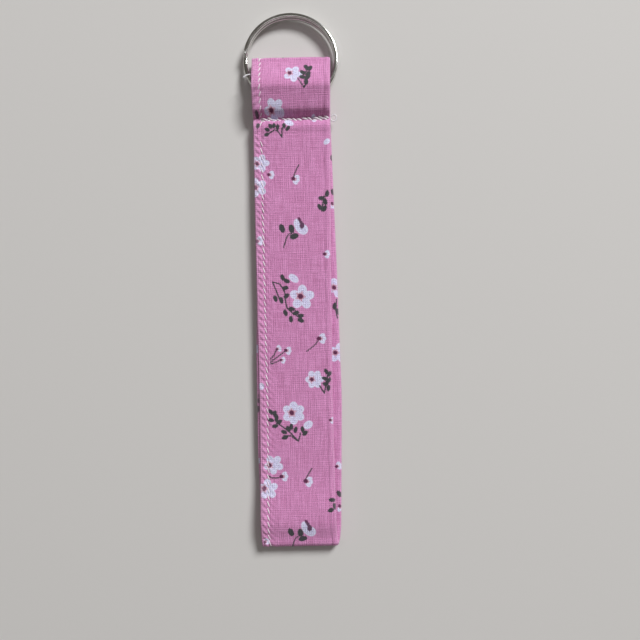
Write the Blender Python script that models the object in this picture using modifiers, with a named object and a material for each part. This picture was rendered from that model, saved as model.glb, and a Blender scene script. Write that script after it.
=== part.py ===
"""Wristlet keychain: a folded cotton strap sewn into a loop, with a split ring held in its tab.

The strap lies flat on the ground plane, along Y. The ring is at +Y, the bottom fold at -Y, and +Z is up.
The cloth is made in lengths that hinge on each other, so that the loop can open round a wrist.
"""
import math

import bmesh
import bpy
from mathutils import Vector

# Split ring, in metres
RING_OUTER_R = 0.0150
WIRE_RADIAL = 0.0013
WIRE_AXIAL = 0.0014
TURN_GAP = 0.0001
RING_TILT = math.radians(3.3)
CROSSOVER_ANGLE = math.radians(192)
CROSSOVER_SPAN = math.radians(30)
RING_END_MARGIN = math.radians(4)
RING_STEP = math.radians(6)
WIRE_CORNER = 0.0003

# Strap: one layer is a strip of cotton wrapped round interfacing and sewn down along its left edge
LAYER = 0.0016
LAYER_GAP = 0.0003
SKIN = 0.00030
TAB_LAYER = 0.0011
TAB_SKIN = 0.00022
CORE_CLEARANCE = 0.0001
HEM_WIDTH = 0.0016
STITCH_INSET = 0.0025
THREAD_R = 0.00010
THREAD_CLEARANCE = 0.00005
HALF_HEM_GAP = 0.00004
GROOVE_CLEARANCE = 0.00008
GROOVE_HALF_TOP = 0.0006
GROOVE_HALF_FLOOR = 0.0003
CORE_BESIDE_STITCH = 0.0009

# Threads of the seam: height up the strap from the tab's foot, height off the ground, and radius
SEAM_THREAD_DROP = 0.0006
SEAM_THREAD_FRONT_Z = 0.0022
SEAM_THREAD_BACK_Z = 0.0004
SEAM_THREAD_INSET = 0.0004
SEAM_THREAD_R = 0.00015
THREAD_LOOP_OUT = 0.0012
THREAD_LOOP_HALF_WIDTH = 0.0008
THREAD_LOOP_HALF_LENGTH = 0.0010
THREAD_LOOP_STEPS = 20
TAIL_START_ABOVE_SEAM = 0.0132
TAIL_START_Z = 0.0047
TAIL_END_ABOVE_SEAM = 0.0124
TAIL_END_Z = 0.0046
TAIL_START_OUT = 0.0003
TAIL_ARCH = 0.0001

# Lengths along the strap, from the stitch line that closes the tab
LOOP_LENGTH = 0.1355
TAB_LENGTH = 0.0193
RING_CENTRE_ABOVE_SEAM = 0.0183
TAB_FOOT = 0.0001
HEAD_END = -0.0022
HINGES = (-0.0050, -0.0470, -0.0890, -0.1310)
HINGE_GAP = 0.0010

# Left and right edges of the strap at each hinge, in x
FRONT_EDGES = ((-0.01215, 0.01215), (-0.01200, 0.01165), (-0.01170, 0.01135), (-0.01200, 0.01185))
BACK_EDGES = ((-0.01220, 0.01240), (-0.01110, 0.01350), (-0.01025, 0.01435), (-0.01120, 0.01340))
TAB_EDGES = ((-0.01220, 0.01225), (-0.01220, 0.01260), (-0.01215, 0.01215))
BOTTOM_FOLD_EDGES = ((-0.01200, 0.01185), (-0.01160, 0.01260), (-0.01120, 0.01340))

# Tab: height of its layer's middle line over the ring, from the stitch line to the top fold
TAB_FOOT_Z = 0.00172
TAB_CREST = ((0.0026, 0.00500), (0.0050, 0.00560), (0.0085, 0.00555), (0.0130, 0.00455))
TAB_FOLD_R = 0.00135

COTTON_COLOUR = (0.48, 0.20, 0.30)
INTERFACING_COLOUR = (0.85, 0.84, 0.80)
THREAD_COLOUR = (0.78, 0.72, 0.78)
STEEL_COLOUR = (0.72, 0.72, 0.70)

RING_HEIGHT = 2 * WIRE_AXIAL + TURN_GAP
RING_CENTRE_Z = RING_OUTER_R * math.sin(RING_TILT) + RING_HEIGHT / 2 * math.cos(RING_TILT)
RING_REACH = RING_OUTER_R * math.cos(RING_TILT) + RING_HEIGHT / 2 * math.sin(RING_TILT)
SEAM_Y = (LOOP_LENGTH - RING_CENTRE_ABOVE_SEAM - RING_REACH) / 2
FRONT_Z = LAYER + LAYER_GAP + LAYER / 2
BACK_Z = LAYER / 2


def clear_scene():
    for item in list(bpy.data.objects):
        bpy.data.objects.remove(item, do_unlink=True)


def new_collection(name):
    collection = bpy.data.collections.new(name)
    bpy.context.scene.collection.children.link(collection)
    return collection


def principled(name, colour, roughness, metallic=0.0):
    material = bpy.data.materials.new(name)
    material.use_nodes = True
    shader = material.node_tree.nodes["Principled BSDF"]
    shader.inputs["Base Color"].default_value = (*colour, 1.0)
    shader.inputs["Roughness"].default_value = roughness
    shader.inputs["Metallic"].default_value = metallic
    return material


def add_object(name, data, material):
    thing = bpy.data.objects.new(name, data)
    data.materials.append(material)
    parts.objects.link(thing)
    return thing


def arc(centre, radius, start, end, steps):
    """Points from one angle to another, in degrees, round a centre."""
    points = []
    for i in range(steps + 1):
        angle = math.radians(start + (end - start) * i / steps)
        points.append((centre[0] + radius * math.cos(angle), centre[1] + radius * math.sin(angle)))
    return points


def smooth(points, steps):
    """A Catmull-Rom curve through the points, each span cut into steps."""
    padded = [points[0], *points, points[-1]]
    curve = []
    for i in range(1, len(padded) - 2):
        before, start, end, after = (Vector(p) for p in padded[i - 1:i + 3])
        for k in range(steps):
            t = k / steps
            a = 2 * start
            b = end - before
            c = 2 * before - 5 * start + 4 * end - after
            d = 3 * start - before - 3 * end + after
            curve.append(tuple((a + b * t + c * t * t + d * t * t * t) / 2))
    curve.append(tuple(points[-1]))
    return curve


def outward(path):
    """Unit normals of a path in (y, z), on its outer side."""
    normals = []
    for i in range(len(path)):
        before = Vector(path[max(i - 1, 0)])
        after = Vector(path[min(i + 1, len(path) - 1)])
        tangent = (after - before).normalized()
        normals.append(Vector((tangent.y, -tangent.x)))
    return normals


def edges_along(path, edges):
    """Left and right edge at each point, spread evenly over the path's length."""
    lengths = [0.0]
    for i in range(1, len(path)):
        lengths.append(lengths[-1] + (Vector(path[i]) - Vector(path[i - 1])).length)
    spans = len(edges) - 1
    result = []
    for length in lengths:
        place = length / lengths[-1] * spans
        i = min(int(place), spans - 1)
        t = place - i
        left = edges[i][0] * (1 - t) + edges[i + 1][0] * t
        right = edges[i][1] * (1 - t) + edges[i + 1][1] * t
        result.append((left, right))
    return result


def cotton_section(left, right, layer, skin):
    """Middle line of the cotton in one layer: a hem, a sewn groove, a face, the fold, and back."""
    middle = (layer - skin) / 2
    hem = skin / 2 + HALF_HEM_GAP
    hem_r = (middle - hem) / 2
    hem_x = left + skin / 2 + hem_r
    stitch = left + STITCH_INSET
    groove = middle - skin / 2 - GROOVE_CLEARANCE
    upper = [(left + HEM_WIDTH, hem)]
    upper += arc((hem_x, (hem + middle) / 2), hem_r, 270, 90, 4)
    upper += [(stitch - GROOVE_HALF_TOP, middle), (stitch - GROOVE_HALF_FLOOR, middle - groove)]
    upper += [(stitch + GROOVE_HALF_FLOOR, middle - groove), (stitch + GROOVE_HALF_TOP, middle)]
    upper += arc((right - skin / 2 - middle, 0.0), middle, 90, 0, 4)
    lower = [(x, -n) for x, n in reversed(upper[:-1])]
    return upper + lower


def core_section(left, right, layer, skin):
    """Outline of the interfacing, inside the cotton and clear of the sewn groove."""
    half = layer / 2 - skin - CORE_CLEARANCE
    x0 = left + STITCH_INSET + CORE_BESIDE_STITCH
    x1 = right - layer / 2 + CORE_CLEARANCE
    return [(x0, -half), (x1, -half), (x1, half), (x0, half)]


def loft(name, rows, closed, material):
    """A skin through rows of points, each row either open or a closed outline with capped ends."""
    shape = bmesh.new()
    rings = [[shape.verts.new(point) for point in row] for row in rows]
    count = len(rings[0])
    for first, second in zip(rings, rings[1:]):
        for i in range(count if closed else count - 1):
            k = (i + 1) % count
            shape.faces.new((first[i], first[k], second[k], second[i]))
    if closed:
        shape.faces.new(rings[0])
        shape.faces.new(rings[-1])
        bmesh.ops.recalc_face_normals(shape, faces=shape.faces)
    mesh = bpy.data.meshes.new(name)
    shape.to_mesh(mesh)
    shape.free()
    return add_object(name, mesh, material)


def sweep_rows(path, edges, section, layer, skin):
    rows = []
    for (y, z), normal, (left, right) in zip(path, outward(path), edges_along(path, edges)):
        row = []
        for x, n in section(left, right, layer, skin):
            row.append((x, SEAM_Y + y + n * normal.x, z + n * normal.y))
        rows.append(row)
    return rows


def tube(name, points, radius, material, cyclic=False):
    curve = bpy.data.curves.new(name, "CURVE")
    curve.dimensions = "3D"
    curve.bevel_depth = radius
    curve.bevel_resolution = 1
    curve.use_fill_caps = not cyclic
    spline = curve.splines.new("POLY")
    spline.points.add(len(points) - 1)
    for target, point in zip(spline.points, points):
        target.co = (*point, 1.0)
    spline.use_cyclic_u = cyclic
    return add_object(name, curve, material)


def topstitch(name, path, edges, offset):
    """A thread laid in the sewn groove, on the outer side or, with a negative offset, the inner side."""
    points = []
    for (y, z), normal, (left, _) in zip(path, outward(path), edges_along(path, edges)):
        points.append((left + STITCH_INSET, SEAM_Y + y + offset * normal.x, z + offset * normal.y))
    return tube(name, points, THREAD_R, thread)


def strap_length(prefix, path, edges, layer=LAYER, skin=SKIN):
    """Cotton, interfacing and the two topstitching threads of one length of the strap."""
    rows = sweep_rows(path, edges, cotton_section, layer, skin)
    cloth = loft(prefix + "_cotton", rows, False, cotton)
    wall = cloth.modifiers.new("skin", "SOLIDIFY")
    wall.thickness = skin
    wall.offset = 0.0
    wall.use_even_offset = True
    rows = sweep_rows(path, edges, core_section, layer, skin)
    loft(prefix + "_interfacing", rows, True, interfacing)
    groove_face = skin + 0.00008
    offset = groove_face + THREAD_CLEARANCE + THREAD_R
    topstitch(prefix + "_needle_thread", path, edges, offset)
    topstitch(prefix + "_bobbin_thread", path, edges, -offset)


def straight(start, end, z):
    return [(start, z), (end, z)]


def make_loop():
    """Three hinged lengths in front and three behind, all of them level when the loop is flat."""
    for i, place in enumerate(("upper", "middle", "lower")):
        top = HINGES[i] - HINGE_GAP / 2
        bottom = HINGES[i + 1] + HINGE_GAP / 2
        strap_length("front_" + place, straight(top, bottom, FRONT_Z), FRONT_EDGES[i:i + 2])
        strap_length("back_" + place, straight(bottom, top, BACK_Z), BACK_EDGES[i + 1::-1][:2])


def make_bottom_fold():
    radius = (LAYER + LAYER_GAP) / 2
    top = HINGES[-1] - HINGE_GAP / 2
    turn_y = -LOOP_LENGTH + LAYER + LAYER_GAP / 2
    path = [(top, FRONT_Z), *arc((turn_y, LAYER + LAYER_GAP / 2), radius, 90, 270, 10), (top, BACK_Z)]
    strap_length("bottom_fold", path, BOTTOM_FOLD_EDGES)


def make_loop_head():
    """The short level length, in front and behind, that joins the loop to the stitched seam."""
    top = HEAD_END
    bottom = HINGES[0] + HINGE_GAP / 2
    strap_length("head_front", straight(top, bottom, FRONT_Z), (FRONT_EDGES[0], FRONT_EDGES[0]))
    strap_length("head_back", straight(bottom, top, BACK_Z), (BACK_EDGES[0], BACK_EDGES[0]))


def make_tab():
    """The doubled end that holds the ring: along the ground, round the top fold and over the ring."""
    turn_y = TAB_LENGTH - TAB_FOLD_R - TAB_LAYER / 2
    ground_z = TAB_LAYER / 2
    turn = arc((turn_y, ground_z + TAB_FOLD_R), TAB_FOLD_R, -90, 90, 10)
    over = [turn[-1], *reversed(TAB_CREST), (TAB_FOOT, TAB_FOOT_Z)]
    path = [(TAB_FOOT, ground_z), *turn[:-1], *smooth(over, 4)]
    strap_length("tab", path, TAB_EDGES, TAB_LAYER, TAB_SKIN)


def make_seam_threads():
    """The rows of stitching across the strap, the loop left at their right end and a loose tail."""
    y = SEAM_Y + TAB_FOOT - SEAM_THREAD_DROP
    left = FRONT_EDGES[0][0] + SEAM_THREAD_INSET
    right = FRONT_EDGES[0][1] - SEAM_THREAD_INSET
    for name, z in (("seam_needle_thread", SEAM_THREAD_FRONT_Z), ("seam_bobbin_thread", SEAM_THREAD_BACK_Z)):
        tube(name, [(left, y, z), (right, y, z)], SEAM_THREAD_R, thread)
    loop_x = FRONT_EDGES[0][1] + THREAD_LOOP_OUT
    points = []
    for i in range(THREAD_LOOP_STEPS):
        angle = math.tau * i / THREAD_LOOP_STEPS
        x = loop_x + THREAD_LOOP_HALF_WIDTH * math.cos(angle)
        points.append((x, SEAM_Y + THREAD_LOOP_HALF_LENGTH * math.sin(angle), SEAM_THREAD_FRONT_Z))
    tube("seam_thread_loop", points, SEAM_THREAD_R, thread, cyclic=True)
    start = Vector((TAB_EDGES[0][0] - TAIL_START_OUT, SEAM_Y + TAIL_START_ABOVE_SEAM, TAIL_START_Z))
    end = Vector((-RING_OUTER_R + SEAM_THREAD_R, SEAM_Y + TAIL_END_ABOVE_SEAM, TAIL_END_Z))
    middle = (start + end) / 2 + Vector((0.0, TAIL_ARCH, 0.0))
    tube("loose_thread_tail", [start, middle, end], SEAM_THREAD_R, thread)


def ring_profile():
    """Rounded rectangle of the ring's wire, as a curve to sweep."""
    curve = bpy.data.curves.new("wire_section", "CURVE")
    curve.dimensions = "2D"
    curve.fill_mode = "NONE"
    corner = WIRE_CORNER
    x = WIRE_RADIAL / 2
    y = WIRE_AXIAL / 2
    outline = [(corner - x, y), (x - corner, y), (x, y - corner), (x, corner - y)]
    outline += [(-px, -py) for px, py in outline]
    spline = curve.splines.new("POLY")
    spline.points.add(len(outline) - 1)
    for target, (px, py) in zip(spline.points, outline):
        target.co = (px, py, 0.0, 1.0)
    spline.use_cyclic_u = True
    guide = bpy.data.objects.new("wire_section", curve)
    guide.hide_render = True
    guide.display_type = "WIRE"
    cutters.objects.link(guide)
    return guide


def make_ring():
    """Two flat turns of wire that step past each other where they cross over."""
    curve = bpy.data.curves.new("split_ring", "CURVE")
    curve.dimensions = "3D"
    curve.twist_mode = "Z_UP"
    curve.bevel_mode = "OBJECT"
    curve.bevel_object = ring_profile()
    curve.use_fill_caps = True
    start = CROSSOVER_SPAN / 2 + RING_END_MARGIN
    end = 2 * math.tau - start
    steps = round((end - start) / RING_STEP)
    level = (WIRE_AXIAL + TURN_GAP) / 2
    middle_r = RING_OUTER_R - WIRE_RADIAL / 2
    spline = curve.splines.new("POLY")
    spline.points.add(steps)
    for i, target in enumerate(spline.points):
        along = start + (end - start) * i / steps
        t = min(max((along - math.tau) / CROSSOVER_SPAN + 0.5, 0.0), 1.0)
        z = level * (2 * t * t * (3 - 2 * t) - 1)
        angle = along + CROSSOVER_ANGLE
        target.co = (middle_r * math.cos(angle), middle_r * math.sin(angle), z, 1.0)
    spline.use_smooth = True
    ring = add_object("split_ring", curve, steel)
    ring.location = (0.0, SEAM_Y + RING_CENTRE_ABOVE_SEAM, RING_CENTRE_Z)
    ring.rotation_euler = (-RING_TILT, 0.0, 0.0)


clear_scene()
parts = new_collection("wristlet_keychain")
cutters = new_collection("guides")
cotton = principled("printed_cotton", COTTON_COLOUR, 0.9)
interfacing = principled("interfacing", INTERFACING_COLOUR, 0.95)
thread = principled("sewing_thread", THREAD_COLOUR, 0.6)
steel = principled("nickel_plated_steel", STEEL_COLOUR, 0.22, 1.0)
make_loop()
make_bottom_fold()
make_loop_head()
make_tab()
make_seam_threads()
make_ring()
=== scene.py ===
"""Wristlet keychain: a printed cotton loop strap with a split ring in its sewn tab.

The strap is one sleeve of cotton, drawn here as one continuous surface and cut into the lengths of the CAD
parts.
Lengths are in millimetres until a point is placed, then in metres.
"""
import math

import bmesh
import bpy
import numpy as np
from mathutils import Euler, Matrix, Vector


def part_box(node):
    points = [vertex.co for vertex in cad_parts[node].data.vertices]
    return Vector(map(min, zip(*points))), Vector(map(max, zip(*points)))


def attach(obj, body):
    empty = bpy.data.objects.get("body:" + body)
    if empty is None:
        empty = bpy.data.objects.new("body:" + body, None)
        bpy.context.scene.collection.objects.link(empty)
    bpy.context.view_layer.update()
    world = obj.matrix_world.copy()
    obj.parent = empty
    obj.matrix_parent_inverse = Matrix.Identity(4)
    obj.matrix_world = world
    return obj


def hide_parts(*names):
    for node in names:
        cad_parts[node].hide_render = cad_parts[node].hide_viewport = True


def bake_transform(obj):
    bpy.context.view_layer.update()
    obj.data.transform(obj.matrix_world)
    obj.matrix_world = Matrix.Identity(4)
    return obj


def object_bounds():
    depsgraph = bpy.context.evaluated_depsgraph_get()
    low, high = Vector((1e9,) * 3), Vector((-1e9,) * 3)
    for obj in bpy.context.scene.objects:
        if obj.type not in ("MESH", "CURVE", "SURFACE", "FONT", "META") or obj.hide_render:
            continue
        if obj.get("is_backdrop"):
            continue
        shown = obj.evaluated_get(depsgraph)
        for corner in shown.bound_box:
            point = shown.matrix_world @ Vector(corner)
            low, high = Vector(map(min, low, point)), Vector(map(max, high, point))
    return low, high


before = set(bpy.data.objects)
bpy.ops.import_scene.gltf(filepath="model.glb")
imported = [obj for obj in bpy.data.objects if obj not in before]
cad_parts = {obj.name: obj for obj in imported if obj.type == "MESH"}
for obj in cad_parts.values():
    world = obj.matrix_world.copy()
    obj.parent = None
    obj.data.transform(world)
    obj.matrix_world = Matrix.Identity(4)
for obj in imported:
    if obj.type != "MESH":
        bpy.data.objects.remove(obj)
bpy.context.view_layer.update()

MM = 0.001

# The seam that closes the tab is the origin of every length along the strap; its thread lies below it
SEAM_THREAD_BELOW = 0.0005
seam_low, seam_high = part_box("seam_needle_thread")
SEAM_Y = (seam_low[1] + seam_high[1]) / 2 + SEAM_THREAD_BELOW

# One layer of the strap
LAYER = 1.6
GAP = 0.3
SKIN = 0.30
SLIT = 0.05
HEM_END = 1.6
CAVITY_START = 3.2
STITCH_INSET = 2.5
FRONT_Z = LAYER + GAP + LAYER / 2
BACK_Z = LAYER / 2
LOOP_LENGTH = 135.5
TURN_R = (LAYER + GAP) / 2
TURN_Y = -LOOP_LENGTH + LAYER + GAP / 2
HEAD_Y = -5.0
PERIOD = 154.5

# Left and right edges of the strap, by height below the seam
EDGE_AT = (-5.0, -47.0, -89.0, -131.0, -135.5)
FRONT_LEFT = (-12.15, -12.00, -11.70, -12.00, -11.60)
FRONT_RIGHT = (12.15, 11.65, 11.35, 11.85, 12.60)
BACK_LEFT = (-12.20, -11.10, -10.25, -11.20, -11.60)
BACK_RIGHT = (12.40, 13.50, 14.35, 13.40, 12.60)

# Middle line of the tab, in front of the ring and behind it: (height above the seam, z, thickness)
TAB_FRONT = (
    (-5.0, 2.70, 1.60), (-3.6, 2.72, 1.60), (-2.4, 2.68, 1.55), (-1.3, 2.35, 1.35), (-0.5, 1.90, 1.10),
    (0.1, 1.74, 1.00), (0.7, 2.20, 1.00), (1.4, 3.40, 1.05), (2.3, 4.60, 1.10), (3.5, 5.18, 1.10),
    (4.8, 5.56, 1.10), (6.2, 5.98, 1.10), (7.8, 6.48, 1.10), (8.9, 6.82, 1.10), (10.3, 6.54, 1.10),
    (13.0, 5.48, 1.10), (15.3, 4.36, 1.10), (17.0, 3.46, 1.10),
)
TAB_TURN_Y = 17.40
TAB_TURN_R = 1.35
TAB_GROUND = 0.55
TAB_BACK = ((0.3, 0.55, 1.05), (-0.8, 0.60, 1.10), (-2.4, 0.76, 1.50), (-3.6, 0.80, 1.60), (-5.0, 0.80, 1.60))

# Rises and dips of the loop's front layer, with where each starts and ends below the seam
PUFF = 0.28
PUFF_FROM = 0.6
PUFF_TO = 4.9
SAG = 0.20
SAG_FROM = 5.2
SAG_TO = 26.0
ROLL = 1.10
ROLL_FROM = 112.0
ROLL_CREST = 127.3
ROLL_TO = 133.6


def hump(below, start, end):
    """One smooth rise and fall between two heights below the seam."""
    return np.sin(np.pi * np.clip((below - start) / (end - start), 0, 1)) ** 2


def lift(y):
    """How far the front stands up below the seam, sinks further down, and rolls over at the bottom."""
    below = -np.asarray(y, float)
    rise = np.clip((below - ROLL_FROM) / (ROLL_CREST - ROLL_FROM), 0, 1)
    fall = np.clip((below - ROLL_CREST) / (ROLL_TO - ROLL_CREST), 0, 1)
    roll = ROLL * np.sin(np.pi / 2 * rise) ** 2 * np.cos(np.pi / 2 * fall) ** 2
    return PUFF * hump(below, PUFF_FROM, PUFF_TO) - SAG * hump(below, SAG_FROM, SAG_TO) + roll


def spline(points, step):
    """A Catmull-Rom curve through the points, sampled about every step."""
    p = np.array(points, float)
    p = np.vstack([2 * p[0] - p[1], p, 2 * p[-1] - p[-2]])
    rows = []
    for i in range(1, len(p) - 2):
        count = max(2, round(float(np.linalg.norm(p[i + 1][:2] - p[i][:2])) / step))
        for t in np.arange(count) / count:
            a = 2 * p[i]
            b = p[i + 1] - p[i - 1]
            c = 2 * p[i - 1] - 5 * p[i] + 4 * p[i + 1] - p[i + 2]
            d = 3 * p[i] - p[i - 1] - 3 * p[i + 1] + p[i + 2]
            rows.append((a + b * t + c * t * t + d * t * t * t) / 2)
    rows.append(p[-2])
    return np.array(rows)


class Path:
    """Rows along the strap: middle line, outward normal, edges, half thickness and run."""

    side = 1.0

    def __init__(self, y, z, left, right, half):
        self.y = np.asarray(y, float)
        self.z = np.asarray(z, float)
        self.left = np.asarray(left, float)
        self.right = np.asarray(right, float)
        self.half = np.asarray(half, float)
        step = np.hypot(np.diff(self.y), np.diff(self.z))
        self.run = np.concatenate([[0.0], np.cumsum(step)])
        dy = np.gradient(self.y, self.run)
        dz = np.gradient(self.z, self.run)
        length = np.hypot(dy, dz)
        self.ny = self.side * dz / length
        self.nz = -self.side * dy / length

    def place(self, run, x, n):
        """World points at a run along the path, x across it and n out of it, in metres."""
        y = np.interp(run, self.run, self.y) + np.interp(run, self.run, self.ny) * n
        z = np.interp(run, self.run, self.z) + np.interp(run, self.run, self.nz) * n
        return np.stack([x * MM, SEAM_Y + y * MM, z * MM], axis=-1)

    def at(self, run, values):
        return np.interp(run, self.run, values)


class Upward(Path):
    """A path that starts by running up the strap, so that its outer side is on its other hand."""

    side = -1.0


def loop_path():
    """Front of the loop downwards, round the bottom fold, and up the back."""
    straight = np.arange(HEAD_Y, TURN_Y, -0.40)
    turn = np.radians(np.linspace(90, 270, 15))
    y = np.concatenate([straight, TURN_Y + TURN_R * np.cos(turn), straight[::-1]])
    z = np.concatenate([
        FRONT_Z + lift(straight),
        LAYER + GAP / 2 + TURN_R * np.sin(turn),
        np.full(len(straight), BACK_Z),
    ])
    half = np.full(len(y), LAYER / 2)
    front = np.arange(len(y)) < len(straight) + len(turn) // 2
    at = np.array(EDGE_AT[::-1])
    left = np.where(front, np.interp(y, at, FRONT_LEFT[::-1]), np.interp(y, at, BACK_LEFT[::-1]))
    right = np.where(front, np.interp(y, at, FRONT_RIGHT[::-1]), np.interp(y, at, BACK_RIGHT[::-1]))
    return Path(y, z, soften(left), soften(right), half)


def soften(values, reach=12):
    """A row of values averaged over its neighbours, with its ends kept."""
    kernel = np.hanning(2 * reach + 3)[1:-1]
    before = 2 * values[0] - values[reach:0:-1]
    after = 2 * values[-1] - values[-2:-reach - 2:-1]
    padded = np.concatenate([before, values, after])
    return np.convolve(padded, kernel / kernel.sum(), "valid")


def tab_path():
    """Up the front of the head, over the ring, round the top fold and down behind."""
    front = spline(TAB_FRONT, 0.34)
    turn = np.radians(np.linspace(90, -90, 15))
    back_y = np.arange(TAB_TURN_Y - 0.4, 0.5, -0.45)
    back = spline(TAB_BACK, 0.4)
    front[:, 1] += lift(front[:, 0])
    y = np.concatenate([front[:, 0], TAB_TURN_Y + TAB_TURN_R * np.cos(turn), back_y, back[:, 0]])
    z = np.concatenate([
        front[:, 1],
        TAB_GROUND + TAB_TURN_R + TAB_TURN_R * np.sin(turn),
        np.full(len(back_y), TAB_GROUND),
        back[:, 1],
    ])
    full = np.concatenate([front[:, 2], np.full(len(turn) + len(back_y), 1.1), back[:, 2]])
    size = len(y)
    top = len(front) + 7
    place = np.arange(size)
    marks = (0, len(front) * 0.35, top, size - len(back), size - 1)
    left = np.interp(place, marks, (-12.15, -12.15, -12.20, -12.20, -12.20))
    right = np.interp(place, marks, (12.15, 12.15, 12.60, 12.30, 12.40))
    return Upward(y, z, soften(left), soften(right), full / 2)


# ---------------------------------------------------------------- print on the cotton

motifs = {"petal": [], "halo": [], "heart": [], "leaf": []}


def blob(channel, x, d, a, b, turn=0.0):
    """An ellipse of the print, x across and d below the seam."""
    motifs[channel].append(("blob", x, d, a, b, math.radians(turn)))


def stroke(*points, r=0.22):
    """A stem of the print through the points."""
    for (x0, d0), (x1, d1) in zip(points, points[1:]):
        motifs["leaf"].append(("stroke", x0, d0, x1, d1, r))


def flower(x, d, size, petals, turn, heart=(0.0, 0.0)):
    """An open flower: petals round a dark heart with a warm halo."""
    for k in range(petals):
        angle = math.radians(turn + 360 * k / petals)
        blob("petal", x + 0.60 * size * math.cos(angle), d + 0.60 * size * math.sin(angle),
             0.42 * size, 0.36 * size, turn + 360 * k / petals)
    blob("petal", x, d, 0.55 * size, 0.55 * size)
    hx, hd = x + heart[0], d + heart[1]
    blob("halo", hx, hd, 0.30 * size, 0.28 * size, turn)
    for k in range(5):
        angle = math.radians(turn + 72 * k + 20)
        motifs["halo"].append(("stroke", hx, hd, hx + 0.38 * size * math.cos(angle),
                               hd + 0.38 * size * math.sin(angle), 0.06 * size))
    blob("heart", hx, hd, 0.23 * size, 0.20 * size, turn + 30)


def bud(x, d, size, turn):
    """A flower seen from its side: a dark base and three petals that open along turn."""
    for spread in (-38, 0, 38):
        angle = math.radians(turn + spread)
        blob("petal", x + 0.85 * size * math.cos(angle), d + 0.85 * size * math.sin(angle),
             0.70 * size, 0.52 * size, turn + spread)
    blob("halo", x + 0.25 * size * math.cos(math.radians(turn)),
         d + 0.25 * size * math.sin(math.radians(turn)), 0.50 * size, 0.42 * size, turn)
    blob("heart", x, d, 0.50 * size, 0.44 * size, turn)


def leaves(*places, size=0.95, slim=0.60):
    """Single leaves, each at x, d and turned."""
    for x, d, turn in places:
        blob("leaf", x, d, size, size * slim, turn)


def tulip(x, d, turn):
    """A closed flower: two long petals side by side with a dark streak between them."""
    c, s = math.cos(math.radians(turn)), math.sin(math.radians(turn))
    blob("petal", x - 0.5 * s, d + 0.5 * c, 2.7, 1.50, turn)
    blob("petal", x + 1.3 * c, d + 1.3 * s, 1.7, 1.55, turn)
    streak = (x - 2.3 * c + 0.5 * s, d - 2.3 * s - 0.5 * c, x + 0.5 * s, d - 0.5 * c, 0.46)
    motifs["heart"].append(("stroke", *streak))
    blob("heart", x + 0.1 * c + 0.3 * s, d + 0.1 * s - 0.3 * c, 1.00, 0.76, turn + 40)


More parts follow.
